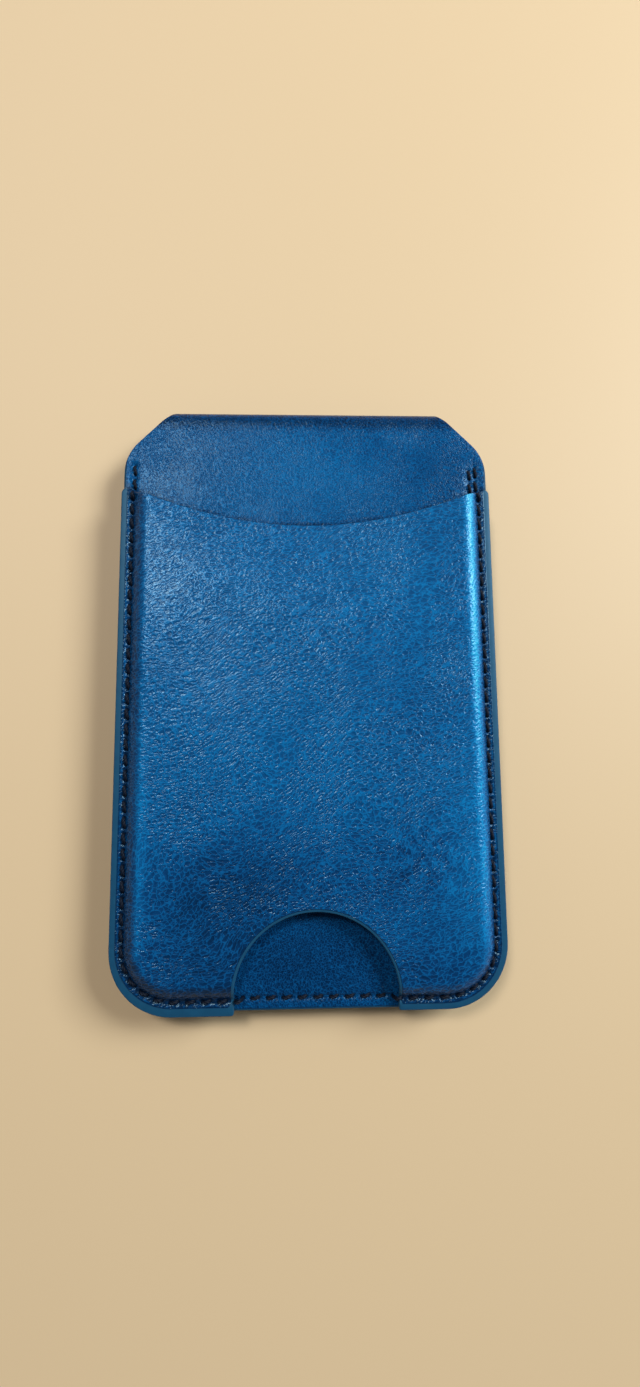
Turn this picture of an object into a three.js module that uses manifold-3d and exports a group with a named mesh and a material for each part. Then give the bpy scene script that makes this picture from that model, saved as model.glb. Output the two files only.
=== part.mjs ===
// Magnetic phone wallet with a fold-out leather panel. Millimetres, +Z up.
// The wallet lies on its phone side: X across, +Y towards the fold, z = 0 at the phone side.

import * as THREE from 'three';
import { mergeVertices } from 'three/addons/utils/BufferGeometryUtils.js';
import Module from 'manifold-3d';

const wasm = await Module();
wasm.setup();

// ---- Driving dimensions ----

const WIDTH = 66;
const LENGTH = 105.5;
const TOP_HALF_WIDTH = 24;      // half the straight top edge, between the 45 degree chamfers
const SHOULDER_RADIUS = 8;      // where a chamfer rounds into the side
const CORNER_RADIUS = 10.5;     // bottom corners
const GLUE_LINE = 0.05;         // gap between laminated layers
const FIT_GAP = 0.3;            // gap round an inserted piece

const LEATHER = 0.9;
const CARRIER = 1.6;
const LINING = 0.3;
const FOLDED_GAP = 0.2;         // air between the closed panel and the pouch
const STIFFENER = 0.8;
const FRONT_LEATHER = 1.0;
const CARD_SPACE = 1.6;         // height that the moulded front leaves for two cards

const MOUTH_CENTRE_Y = 29.8;    // lowest point of the pocket mouth
const MOUTH_RADIUS = 78;
const NOTCH_RADIUS = 13.5;
const NOTCH_CENTRE_X = 1;       // the notch is cut a little right of centre
const NOTCH_RISE = 2.65;        // height of the notch's centre above the bottom edge

const MOULD_START = 2.7;        // inset where the flange ends and the moulded shoulder starts
const MOULD_END = 5.6;          // inset where the shoulder reaches full height
const MOULD_STEPS = 5;

const SEAM_INSET = 2;
const SEAM_TOP_Y = 42;
const THREAD = 0.6;
const THREAD_SIDES = 6;
const SEAM_STEP_GAP = 0.2;      // gap between the leather's cut edge and the thread stepping off it
const SEAM_STEP = 0.5;          // length of that step
const GROOVE_DEPTH = 0.7;       // the rear seam lies sunk, so that the panel still lies flat
const GROOVE_WIDTH = 1.2;

const BOARD_END_Y = 47;         // both boards stop here, short of the fold
const LINING_SPLIT_Y = 46.5;    // the flat linings meet the fold's lining here
const TAPE = 0.2;               // reinforcing tape inside the fold
const LINING_LEAD = 0.2;        // straight run of the fold's lining before it bends

const RING_CENTRE_Y = 13.25;
const RING_OUTER = 27;
const RING_INNER = 23;
const MAGNET_COUNT = 18;
const MAGNET = 1;
const BACK_IRON = 0.27;
const BAR_WIDTH = 5;
const BAR_LENGTH = 20;
const BAR_RADIUS = 0.5;
const BAR_DROP = 41;            // from the ring's centre down to the bar's centre

const SHIELD_WIDTH = 56;
const SHIELD_LENGTH = 82;
const SHIELD_CENTRE_Y = 1;
const SHIELD = 0.25;
const SHIELD_RADIUS = 3;

const PAST = 1;                 // how far a cutter reaches past what it cuts
const ARC_STEPS = 8;
const RING_STEPS = 48;
const MAGNET_STEPS = 4;

// ---- Heights, worked up from the phone side ----

const stackedOn = (below) => below + GLUE_LINE;

const carrierBottom = stackedOn(LEATHER);
const panelLiningBottom = stackedOn(carrierBottom + CARRIER);
const panelTop = panelLiningBottom + LINING;
const pouchBottom = panelTop + FOLDED_GAP;
const stiffenerBottom = stackedOn(pouchBottom + LINING);
const backingBottom = stackedOn(stiffenerBottom + STIFFENER);
const backingTop = backingBottom + LEATHER;
const frontLiningBottom = stackedOn(backingTop);
const frontLeatherBottom = stackedOn(frontLiningBottom + LINING);
const flangeTop = frontLeatherBottom + FRONT_LEATHER;

const halfWidth = WIDTH / 2;
const halfLength = LENGTH / 2;
const foldRadius = backingTop / 2;
const foldStartY = halfLength - foldRadius;
const barCentreY = RING_CENTRE_Y - BAR_DROP;

// ---- Colours and finishes ----

const LOOKS = {
  leather: { color: 0x22629a, roughness: 0.55, metalness: 0 },
  lining: { color: 0x2b3b52, roughness: 0.9, metalness: 0 },
  thread: { color: 0x101c33, roughness: 0.6, metalness: 0 },
  board: { color: 0x6f665a, roughness: 0.85, metalness: 0 },
  tape: { color: 0x8d9096, roughness: 0.8, metalness: 0 },
  magnet: { color: 0xa9acb0, roughness: 0.3, metalness: 1 },
  steel: { color: 0x8b8f94, roughness: 0.35, metalness: 1 },
};

function piece(name, look, geometry) {
  const mesh = new THREE.Mesh(geometry, new THREE.MeshStandardMaterial(LOOKS[look]));
  mesh.name = name;
  return mesh;
}

// ---- Solids: cutting and joining ----

function toSolid(geometry) {
  const bare = geometry.clone();
  bare.deleteAttribute('normal');
  bare.deleteAttribute('uv');
  const merged = mergeVertices(bare, 1e-5);
  return new wasm.Manifold(new wasm.Mesh({
    numProp: 3,
    vertProperties: new Float32Array(merged.attributes.position.array),
    triVerts: new Uint32Array(merged.index.array),
  }));
}

function toGeometry(solid) {
  const mesh = solid.getMesh();
  const geometry = new THREE.BufferGeometry();
  geometry.setAttribute('position', new THREE.BufferAttribute(new Float32Array(mesh.vertProperties), 3));
  geometry.setIndex(new THREE.BufferAttribute(new Uint32Array(mesh.triVerts), 1));
  geometry.computeVertexNormals();
  return geometry;
}

function cut(geometry, ...cutters) {
  const solid = cutters.reduce((rest, cutter) => rest.subtract(toSolid(cutter)), toSolid(geometry));
  return toGeometry(solid);
}

function slab(shape, bottom, top, steps = ARC_STEPS) {
  const settings = { depth: top - bottom, bevelEnabled: false, curveSegments: steps };
  return new THREE.ExtrudeGeometry(shape, settings).translate(0, 0, bottom);
}

// ---- Plan outlines ----

// The whole wallet seen from above, anticlockwise from the top right, shrunk evenly by inset and
// trimmed at topY: straight top, chamfers that round into the sides, round bottom corners.
function walletOutline(inset, topY) {
  const chamferSum = TOP_HALF_WIDTH + halfLength - inset * Math.SQRT2;
  const shoulderX = halfWidth - SHOULDER_RADIUS;
  const shoulderY = TOP_HALF_WIDTH + halfLength - SHOULDER_RADIUS * Math.SQRT2 - shoulderX;
  const cornerX = halfWidth - CORNER_RADIUS;
  const cornerY = -halfLength + CORNER_RADIUS;
  const shape = new THREE.Shape();
  shape.moveTo(chamferSum - topY, topY);
  shape.lineTo(topY - chamferSum, topY);
  shape.absarc(-shoulderX, shoulderY, SHOULDER_RADIUS - inset, 0.75 * Math.PI, Math.PI);
  shape.absarc(-cornerX, cornerY, CORNER_RADIUS - inset, Math.PI, 1.5 * Math.PI);
  shape.absarc(cornerX, cornerY, CORNER_RADIUS - inset, 1.5 * Math.PI, 2 * Math.PI);
  shape.absarc(shoulderX, shoulderY, SHOULDER_RADIUS - inset, 0, 0.25 * Math.PI);
  shape.closePath();
  return shape;
}

// The lower part of the same outline, with straight sides up to topY.
function pocketOutline(inset, topY) {
  const side = halfWidth - inset;
  const cornerX = halfWidth - CORNER_RADIUS;
  const cornerY = -halfLength + CORNER_RADIUS;
  const shape = new THREE.Shape();
  shape.moveTo(side, topY);
  shape.lineTo(-side, topY);
  shape.absarc(-cornerX, cornerY, CORNER_RADIUS - inset, Math.PI, 1.5 * Math.PI);
  shape.absarc(cornerX, cornerY, CORNER_RADIUS - inset, 1.5 * Math.PI, 2 * Math.PI);
  shape.closePath();
  return shape;
}

// Everything above the mouth's shallow arc.
function aboveMouth() {
  const reach = halfWidth + PAST;
  const halfAngle = Math.asin(reach / MOUTH_RADIUS);
  const shape = new THREE.Shape();
  shape.moveTo(reach, halfLength + PAST);
  shape.lineTo(-reach, halfLength + PAST);
  shape.absarc(
    0, MOUTH_CENTRE_Y + MOUTH_RADIUS, MOUTH_RADIUS,
    -0.5 * Math.PI - halfAngle, -0.5 * Math.PI + halfAngle,
  );
  shape.closePath();
  return shape;
}

function thumbNotch() {
  const centreY = -halfLength + NOTCH_RISE;
  const below = -halfLength - PAST;
  const shape = new THREE.Shape();
  shape.moveTo(NOTCH_CENTRE_X - NOTCH_RADIUS, below);
  shape.lineTo(NOTCH_CENTRE_X + NOTCH_RADIUS, below);
  shape.absarc(NOTCH_CENTRE_X, centreY, NOTCH_RADIUS, 0, Math.PI);
  shape.closePath();
  return shape;
}

function roundedRectangle(width, height, radius) {
  const x = width / 2 - radius;
  const y = height / 2 - radius;
  const shape = new THREE.Shape();
  shape.absarc(x, y, radius, 0, 0.5 * Math.PI);
  shape.absarc(-x, y, radius, 0.5 * Math.PI, Math.PI);
  shape.absarc(-x, -y, radius, Math.PI, 1.5 * Math.PI);
  shape.absarc(x, -y, radius, 1.5 * Math.PI, 2 * Math.PI);
  shape.closePath();
  return shape;
}

function ringSector(outer, inner, start, end) {
  const shape = new THREE.Shape();
  shape.absarc(0, 0, outer, start, end);
  shape.absarc(0, 0, inner, end, start, true);
  shape.closePath();
  return shape;
}

function fullRing(outer, inner) {
  const shape = new THREE.Shape();
  shape.absarc(0, 0, outer, 0, 2 * Math.PI);
  const hole = new THREE.Path();
  hole.absarc(0, 0, inner, 0, 2 * Math.PI, true);
  shape.holes.push(hole);
  return shape;
}

// ---- The moulded pocket front ----

// A sheet whose rim lies flat and whose middle stands CARD_SPACE higher, with a smooth shoulder
// between. Its rings are the pocket outline at growing insets.
function mouldedSheet(bottom, thickness) {
  const insets = [0];
  const rises = [0];
  for (let step = 0; step <= MOULD_STEPS; step += 1) {
    const t = step / MOULD_STEPS;
    insets.push(THREE.MathUtils.lerp(MOULD_START, MOULD_END, t));
    rises.push(CARD_SPACE * THREE.MathUtils.smoothstep(t, 0, 1));
  }
  const outlines = insets.map(
    (inset) => pocketOutline(inset, SEAM_TOP_Y).getPoints(ARC_STEPS).slice(0, -1),
  );
  const count = outlines[0].length;
  const positions = [];
  const addSurface = (z) => outlines.forEach((outline, ring) => {
    outline.forEach((point) => positions.push(point.x, point.y, z + rises[ring]));
  });
  addSurface(bottom);
  addSurface(bottom + thickness);

  const triangles = [];
  const topStart = outlines.length * count;
  const innermost = (outlines.length - 1) * count;
  const addBand = (outer, inner) => {
    for (let k = 0; k < count; k += 1) {
      const next = (k + 1) % count;
      triangles.push(outer + k, outer + next, inner + next, outer + k, inner + next, inner + k);
    }
  };
  for (let ring = 0; ring < outlines.length - 1; ring += 1) {
    const outer = ring * count;
    const inner = outer + count;
    addBand(topStart + outer, topStart + inner);
    addBand(inner, outer);
  }
  addBand(0, topStart);
  THREE.ShapeUtils.triangulateShape(outlines.at(-1), []).forEach(([a, b, c]) => {
    triangles.push(topStart + innermost + a, topStart + innermost + b, topStart + innermost + c);
    triangles.push(innermost + a, innermost + c, innermost + b);
  });

  const geometry = new THREE.BufferGeometry();
  geometry.setAttribute('position', new THREE.Float32BufferAttribute(positions, 3));
  geometry.setIndex(triangles);
  return geometry;
}

function pocketFront(bottom, thickness) {
  const low = bottom - PAST;
  const high = bottom + thickness + CARD_SPACE + PAST;
  return cut(
    mouldedSheet(bottom, thickness),
    slab(aboveMouth(), low, high, 3 * ARC_STEPS),
    slab(thumbNotch(), low, high, 2 * ARC_STEPS),
  );
}

// ---- The fold ----

// Turns a profile drawn in (y, z) into a solid across the wallet, trimmed to the plan outline.
function acrossFold(profile) {
  const settings = { depth: WIDTH, bevelEnabled: false, curveSegments: 2 * ARC_STEPS };
  const axes = new THREE.Matrix4().makeBasis(
    new THREE.Vector3(0, 1, 0), new THREE.Vector3(0, 0, 1), new THREE.Vector3(1, 0, 0),
  );
  const strip = new THREE.ExtrudeGeometry(profile, settings).translate(0, 0, -halfWidth);
  strip.applyMatrix4(axes);
  const plan = slab(walletOutline(0, halfLength), -PAST, backingTop + PAST);
  return toGeometry(toSolid(strip).intersect(toSolid(plan)));
}

// A sheet round the inside or outside of the fold, with straight legs back to legEndY.
function foldProfile(outer, thickness, legEndY) {
  const inner = outer - thickness;
  const shape = new THREE.Shape();
  shape.moveTo(legEndY, foldRadius - outer);
  shape.absarc(foldStartY, foldRadius, outer, -0.5 * Math.PI, 0.5 * Math.PI);
  shape.lineTo(legEndY, foldRadius + outer);
  shape.lineTo(legEndY, foldRadius + inner);
  shape.absarc(foldStartY, foldRadius, inner, 0.5 * Math.PI, -0.5 * Math.PI, true);
  shape.lineTo(legEndY, foldRadius - inner);
  shape.closePath();
  return shape;
}

// The lining dips off both boards, runs round the inside of the fold and climbs back.
function foldLiningProfile(outer) {
  const inner = outer - LINING;
  const dipStart = BOARD_END_Y + FIT_GAP;
  const dipEnd = foldStartY - LINING_LEAD;
  const dipMiddle = (dipStart + dipEnd) / 2;
  const shape = new THREE.Shape();
  shape.moveTo(LINING_SPLIT_Y, panelLiningBottom);
  shape.lineTo(dipStart, panelLiningBottom);
  shape.bezierCurveTo(
    dipMiddle, panelLiningBottom, dipMiddle, foldRadius - outer, dipEnd, foldRadius - outer,
  );
  shape.absarc(foldStartY, foldRadius, outer, -0.5 * Math.PI, 0.5 * Math.PI);
  shape.lineTo(dipEnd, foldRadius + outer);
  shape.bezierCurveTo(
    dipMiddle, foldRadius + outer, dipMiddle, pouchBottom + LINING, dipStart, pouchBottom + LINING,
  );
  shape.lineTo(LINING_SPLIT_Y, pouchBottom + LINING);
  shape.lineTo(LINING_SPLIT_Y, pouchBottom);
  shape.lineTo(dipStart, pouchBottom);
  shape.bezierCurveTo(dipMiddle, pouchBottom, dipMiddle, foldRadius + inner, dipEnd, foldRadius + inner);
  shape.absarc(foldStartY, foldRadius, inner, 0.5 * Math.PI, -0.5 * Math.PI, true);
  shape.lineTo(dipEnd, foldRadius - inner);
  shape.bezierCurveTo(dipMiddle, foldRadius - inner, dipMiddle, panelTop, dipStart, panelTop);
  shape.lineTo(LINING_SPLIT_Y, panelTop);
  shape.closePath();
  return shape;
}

function foldPieces() {
  const tapeOuter = foldRadius - LEATHER - GLUE_LINE;
  const liningOuter = tapeOuter - TAPE - GLUE_LINE;
  const leather = foldProfile(foldRadius, LEATHER, foldStartY);
  const tape = foldProfile(tapeOuter, TAPE, BOARD_END_Y + FIT_GAP);
  const lining = foldLiningProfile(liningOuter);
  return [
    piece('fold_leather', 'leather', acrossFold(leather)),
    piece('fold_reinforcement', 'tape', acrossFold(tape)),
    piece('fold_lining', 'lining', acrossFold(lining)),
  ];
}

// ---- Seams ----

class SeamPath extends THREE.Curve {
  constructor(points) {
    super();
    this.points = points;
  }

  getPoint(t) {
    const place = t * (this.points.length - 1);
    const index = Math.min(Math.floor(place), this.points.length - 2);
    return this.points[index].clone().lerp(this.points[index + 1], place - index);
  }

  getPointAt(t) {
    return this.getPoint(t);
  }

  getTangentAt(t) {
    return this.getTangent(t);
  }
}

function threadAlong(points) {
  const section = new THREE.Shape();
  for (let side = 0; side < THREAD_SIDES; side += 1) {
    const angle = (2 * Math.PI * side) / THREAD_SIDES;
    const x = (THREAD / 2) * Math.cos(angle);
    const y = (THREAD / 2) * Math.sin(angle);
    if (side === 0) section.moveTo(x, y);
    else section.lineTo(x, y);
  }
  section.closePath();
  return new THREE.ExtrudeGeometry(section, {
    steps: points.length - 1,
    extrudePath: new SeamPath(points),
    bevelEnabled: false,
  });
}

// The points of the seam round one bottom corner: side is -1 for the left, which runs downwards,
// and 1 for the right, which runs upwards.
function cornerPoints(side, z) {
  const radius = CORNER_RADIUS - SEAM_INSET;
  const points = [];
  for (let step = 0; step <= ARC_STEPS; step += 1) {
    const angle = (0.5 * Math.PI * step) / ARC_STEPS;
    const turned = side < 0 ? Math.PI + angle : 1.5 * Math.PI + angle;
    points.push(new THREE.Vector3(
      side * (halfWidth - CORNER_RADIUS) + radius * Math.cos(turned),
      -halfLength + CORNER_RADIUS + radius * Math.sin(turned),
      z,
    ));
  }
  return points;
}

// Down the left side, round the bottom and up the right. It lies on the pocket front, and steps
// down to the backing leather above the mouth and inside the notch.
function pouchSeam() {
  const high = flangeTop + THREAD / 2 + GLUE_LINE;
  const low = backingTop + THREAD / 2 + GLUE_LINE;
  const seamX = halfWidth - SEAM_INSET;
  const seamY = -halfLength + SEAM_INSET;
  const mouthY = MOUTH_CENTRE_Y + MOUTH_RADIUS - Math.sqrt(MOUTH_RADIUS ** 2 - seamX ** 2);
  const stepStart = THREAD / 2 + SEAM_STEP_GAP;
  const stepEnd = stepStart + SEAM_STEP;
  const sideTop = (side) => [
    new THREE.Vector3(side * seamX, SEAM_TOP_Y, low),
    new THREE.Vector3(side * seamX, mouthY + stepEnd, low),
    new THREE.Vector3(side * seamX, mouthY + stepStart, high),
  ];
  const notchStep = (side) => [
    new THREE.Vector3(NOTCH_CENTRE_X + side * (NOTCH_RADIUS - stepStart), seamY, high),
    new THREE.Vector3(NOTCH_CENTRE_X + side * (NOTCH_RADIUS - stepEnd), seamY, low),
  ];
  return [
    ...sideTop(-1),
    ...cornerPoints(-1, high),
    ...notchStep(-1),
    ...notchStep(1).reverse(),
    ...cornerPoints(1, high),
    ...sideTop(1).reverse(),
  ];
}

// The rear panel's seam, inside its groove.
function panelSeam() {
  const z = GROOVE_DEPTH - GLUE_LINE - THREAD / 2;
  const seamX = halfWidth - SEAM_INSET;
  return [
    new THREE.Vector3(-seamX, SEAM_TOP_Y - FIT_GAP, z),
    ...cornerPoints(-1, z),
    ...cornerPoints(1, z),
    new THREE.Vector3(seamX, SEAM_TOP_Y - FIT_GAP, z),
  ];
}

function grooveCutter() {
  const outside = pocketOutline(SEAM_INSET - GROOVE_WIDTH / 2, SEAM_TOP_Y);
  const inside = pocketOutline(SEAM_INSET + GROOVE_WIDTH / 2, halfLength);
  return cut(
    slab(outside, -PAST, GROOVE_DEPTH),
    slab(inside, -2 * PAST, GROOVE_DEPTH + PAST),
  );
}

// ---- The rear panel ----

function magnetPockets() {
  const low = carrierBottom - PAST;
  const ironTop = carrierBottom + MAGNET + BACK_IRON + 3 * GLUE_LINE;
  const barTop = carrierBottom + MAGNET + 2 * GLUE_LINE;
  const ringShape = fullRing(RING_OUTER + FIT_GAP, RING_INNER - FIT_GAP);
  const barShape = roundedRectangle(BAR_WIDTH + 2 * FIT_GAP, BAR_LENGTH + 2 * FIT_GAP, BAR_RADIUS);
  return [
    slab(ringShape, low, ironTop, RING_STEPS).translate(0, RING_CENTRE_Y, 0),
    slab(barShape, low, barTop).translate(0, barCentreY, 0),
  ];
}

function magnetRing() {
  const bottom = stackedOn(carrierBottom);
  const pitch = (2 * Math.PI) / MAGNET_COUNT;
  const halfSpan = pitch / 2 - FIT_GAP / 2 / RING_INNER;
  const magnets = [];
  for (let index = 0; index < MAGNET_COUNT; index += 1) {
    const middle = pitch * index;
    const sector = ringSector(RING_OUTER, RING_INNER, middle - halfSpan, middle + halfSpan);
    const number = String(index + 1).padStart(2, '0');
    const body = slab(sector, 0, MAGNET, MAGNET_STEPS);
    const magnet = piece(`magnet_segment_${number}`, 'magnet', body);
    magnet.position.set(0, RING_CENTRE_Y, bottom);
    magnets.push(magnet);
  }
  return magnets;
}

function rearPanel() {
  const magnetBottom = stackedOn(carrierBottom);
  const ironBottom = stackedOn(magnetBottom + MAGNET);
  const leather = slab(walletOutline(0, foldStartY - GLUE_LINE), 0, LEATHER);
  const board = slab(walletOutline(0, BOARD_END_Y), carrierBottom, carrierBottom + CARRIER);
  const lining = slab(walletOutline(0, LINING_SPLIT_Y - GLUE_LINE), panelLiningBottom, panelTop);
  const iron = slab(fullRing(RING_OUTER, RING_INNER), ironBottom, ironBottom + BACK_IRON, RING_STEPS);
  const barShape = roundedRectangle(BAR_WIDTH, BAR_LENGTH, BAR_RADIUS);
  const bar = slab(barShape, magnetBottom, magnetBottom + MAGNET);
  return [
    piece('rear_leather', 'leather', cut(leather, grooveCutter())),
    piece('magnet_carrier_board', 'board', cut(board, ...magnetPockets())),
    ...magnetRing(),
    piece('magnet_back_iron', 'steel', iron.translate(0, RING_CENTRE_Y, 0)),
    piece('alignment_magnet', 'magnet', bar.translate(0, barCentreY, 0)),
    piece('panel_lining', 'lining', lining),
    piece('panel_stitching', 'thread', threadAlong(panelSeam())),
  ];
}

// ---- The pouch ----

function pouch() {
  const stiffenerTop = stiffenerBottom + STIFFENER;
  const shieldTop = stiffenerTop - GLUE_LINE;
  const recessFloor = shieldTop - SHIELD - GLUE_LINE;
  const board = slab(walletOutline(0, BOARD_END_Y), stiffenerBottom, stiffenerTop);
  const recessShape = roundedRectangle(
    SHIELD_WIDTH + 2 * FIT_GAP, SHIELD_LENGTH + 2 * FIT_GAP, SHIELD_RADIUS + FIT_GAP,
  );
  const recess = slab(recessShape, recessFloor, stiffenerTop + PAST);
  recess.translate(0, SHIELD_CENTRE_Y, 0);
  const shieldShape = roundedRectangle(SHIELD_WIDTH, SHIELD_LENGTH, SHIELD_RADIUS);
  const shield = slab(shieldShape, shieldTop - SHIELD, shieldTop);
  shield.translate(0, SHIELD_CENTRE_Y, 0);
  const lining = slab(walletOutline(0, LINING_SPLIT_Y - GLUE_LINE), pouchBottom, pouchBottom + LINING);
  const backing = slab(walletOutline(0, foldStartY - GLUE_LINE), backingBottom, backingTop);
  return [
    piece('pouch_back_lining', 'lining', lining),
    piece('pouch_stiffener', 'board', cut(board, recess)),
    piece('shield_plate', 'steel', shield),
    piece('backing_leather', 'leather', backing),
    piece('front_lining', 'lining', pocketFront(frontLiningBottom, LINING)),
    piece('front_leather', 'leather', pocketFront(frontLeatherBottom, FRONT_LEATHER)),
    piece('pouch_stitching', 'thread', threadAlong(pouchSeam())),
  ];
}

const group = new THREE.Group();
group.add(...rearPanel(), ...foldPieces(), ...pouch());

export default group;
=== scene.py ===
"""Looks for a magnetic leather phone wallet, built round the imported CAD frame.

Meshes are worked out in millimetres, in the frame's own axes, and scaled to metres when they are made.
A sheet of leather or lining is drawn flat, as (x, y) with a depth through it, and a placing function then
lays it in the object, so that the leather that rolls over the fold is one piece.
"""

import math

import bpy
import numpy as np
from mathutils import Matrix, Vector, geometry


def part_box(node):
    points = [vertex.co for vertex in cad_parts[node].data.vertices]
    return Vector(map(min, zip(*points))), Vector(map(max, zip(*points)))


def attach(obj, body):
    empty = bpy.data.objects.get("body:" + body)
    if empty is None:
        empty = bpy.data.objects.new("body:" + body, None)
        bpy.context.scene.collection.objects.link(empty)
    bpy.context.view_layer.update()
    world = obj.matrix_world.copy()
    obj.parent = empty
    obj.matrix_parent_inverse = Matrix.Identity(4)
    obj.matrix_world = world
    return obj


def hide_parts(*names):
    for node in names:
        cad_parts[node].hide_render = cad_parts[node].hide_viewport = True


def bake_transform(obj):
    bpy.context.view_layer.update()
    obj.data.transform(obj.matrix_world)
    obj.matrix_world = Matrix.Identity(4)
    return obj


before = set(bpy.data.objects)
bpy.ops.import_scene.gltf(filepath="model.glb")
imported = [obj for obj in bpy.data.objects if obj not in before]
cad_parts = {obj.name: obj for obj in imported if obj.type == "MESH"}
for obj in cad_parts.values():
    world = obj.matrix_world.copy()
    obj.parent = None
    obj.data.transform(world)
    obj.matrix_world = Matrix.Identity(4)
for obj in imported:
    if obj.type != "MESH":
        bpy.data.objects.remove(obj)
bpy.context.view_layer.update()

MM = 0.001


# ---- Sizes ----


def frame_box(node):
    """The lowest and highest corners of a CAD node, in millimetres."""
    low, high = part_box(node)
    return np.array(low) / MM, np.array(high) / MM


backing_high = frame_box("backing_leather")[1]
rear_high = frame_box("rear_leather")[1]
front_low, front_high = frame_box("front_leather")
front_lining_high = frame_box("front_lining")[1]
panel_lining_low, panel_lining_high = frame_box("panel_lining")
pouch_lining_low, pouch_lining_high = frame_box("pouch_back_lining")
fold_high = frame_box("fold_leather")[1]
tape_low = frame_box("fold_reinforcement")[0]
carrier_low, carrier_high = frame_box("magnet_carrier_board")

HALF_WIDTH = backing_high[0]
HALF_LENGTH = fold_high[1]
LEATHER = rear_high[2]
FOLD_RADIUS = fold_high[2] / 2
FOLD_START = HALF_LENGTH - FOLD_RADIUS
BACKING_START = FOLD_START + math.pi * FOLD_RADIUS  # where the wrapped leather, laid flat, leaves the fold
WRAP_SUM = BACKING_START + FOLD_START  # a y on the backing plus its flat place
LINING = panel_lining_high[2] - panel_lining_low[2]
TAPE_THICKNESS = 0.2

TOP_HALF_WIDTH = 24.0
SHOULDER_RADIUS = 8.0
CORNER_RADIUS = 10.5
MOUTH_CENTRE_Y = 29.8
MOUTH_RADIUS = 78.0
NOTCH_RADIUS = 13.5
NOTCH_X = 1.0
NOTCH_Y = -HALF_LENGTH + 2.65
SEAM_INSET = 2.0
SEAM_TOP_Y = 42.0
PITCH = 2.6
PAINT_LINE = 1.14  # distance from an edge to the creased line that bounds its paint
STITCH_START = 0.17  # share of the pitch at which a stitch comes out of the leather
RING_Y = 13.25  # centre of the magnet ring
RING_OUTER = 27.0
RING_INNER = 23.0
IMPRINT_GAP = 0.2  # how far outside the magnets their imprint in the leather runs
FRONT_THICKNESS = 1.0
FLANGE_TOP = front_low[2] + FRONT_THICKNESS
RISE = front_high[2] - FLANGE_TOP
FOOT_DROP = 0.35  # the left foot of the pocket front hangs this far past the edge
SHOULDER_INSET = 2.1  # distance from an edge at which the moulded shoulder starts to rise
SHOULDER_WIDTH = 2.8
BOARD_CLEARANCE = 0.3  # gap between a recess's wall and the metal that lies in it
RECESS_GAP = 0.05  # gap between a recess's floor and that metal
WALL_HALF = 0.03  # half the width over which a recess's wall drops
SHEET_INSET = 0.12  # how far the linings stay inside the leather's edge

# How deep the seam pulls each sheet in: along its groove, and more at each needle hole.
FRONT_DENT = (0.12, 0.42)
REAR_DENT = (0.45, 0.30)
LINING_DENT = (0.08, 0.12)


# ---- Plane geometry ----


def arc(centre, radius, start, end, step=0.2):
    """Points along an arc between two angles in degrees."""
    turn = math.radians(end - start)
    count = max(4, int(abs(turn) * radius / step))
    angles = math.radians(start) + turn * np.linspace(0, 1, count + 1)
    return np.c_[centre[0] + radius * np.cos(angles), centre[1] + radius * np.sin(angles)]


def distance_along(line):
    """How far along a line each of its points is."""
    return np.r_[0, np.cumsum(np.linalg.norm(np.diff(line, axis=0), axis=1))]


def points_at(places, along, line):
    """What lies on a line at some distances along it. along gives the distance of each of its points."""
    return np.c_[np.interp(places, along, line[:, 0]), np.interp(places, along, line[:, 1])]


def even_loop(parts, step, rounding=0.3):
    """The parts joined into one closed loop, with evenly spaced points and slightly rounded corners."""
    loop = np.vstack(parts + [parts[0][:1]])
    gaps = np.linalg.norm(np.diff(loop, axis=0), axis=1)
    loop = loop[np.r_[True, gaps > 1e-9]]
    along = distance_along(loop)
    count = int(round(along[-1] / step))
    even = points_at(along[-1] * np.arange(count) / count, along, loop)
    reach = int(math.ceil(3 * rounding / step))
    weights = np.exp(-0.5 * (np.arange(-reach, reach + 1) * step / rounding) ** 2)
    weights /= weights.sum()
    return sum(w * np.roll(even, k, axis=0) for w, k in zip(weights, range(-reach, reach + 1)))


def offset(loop, distance):
    """The anticlockwise loop moved inwards by distance."""
    ahead = np.roll(loop, -1, axis=0) - np.roll(loop, 1, axis=0)
    ahead /= np.linalg.norm(ahead, axis=1)[:, None]
    return loop + distance * np.c_[-ahead[:, 1], ahead[:, 0]]


def in_parts(points, work):
    """What work makes of the points, done a part at a time to save memory."""
    parts = np.array_split(points, max(1, len(points) // 1500))
    return np.concatenate([work(part) for part in parts])


def loop_distance(points, loop):
    """How far each point is from the nearest of the loop's points."""
    return in_parts(points, lambda part: np.sqrt(((part[:, None] - loop[None]) ** 2).sum(2).min(1)))


def inside(points, loop):
    """Which points are inside the loop."""
    x0, y0 = loop[:, 0], loop[:, 1]
    x1, y1 = np.roll(x0, -1), np.roll(y0, -1)
    slope = (x1 - x0) / np.where(y1 == y0, 1e-12, y1 - y0)

    def is_inside(part):
        x, y = part[:, :1], part[:, 1:]
        spans = (y0 > y) != (y1 > y)
        return (spans & (x < x0 + slope * (y - y0))).sum(1) % 2 == 1

    return in_parts(points, is_inside)


def lattice(loop, step, margin):
    """Points of a staggered lattice inside the loop, at least margin from it."""
    low, high = loop.min(0), loop.max(0)
    rows = []
    for k, y in enumerate(np.arange(low[1], high[1], step * 0.87)):
        columns = np.arange(low[0] + (k % 2) * step / 2, high[0], step)
        rows.append(np.c_[columns, np.full_like(columns, y)])
    return keep_inside(np.vstack(rows), loop, margin)


def keep_inside(points, loop, margin):
    """The points that are inside the loop and more than margin from it."""
    points = points[inside(points, loop)]
    return points[loop_distance(points, loop) > margin]


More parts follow.
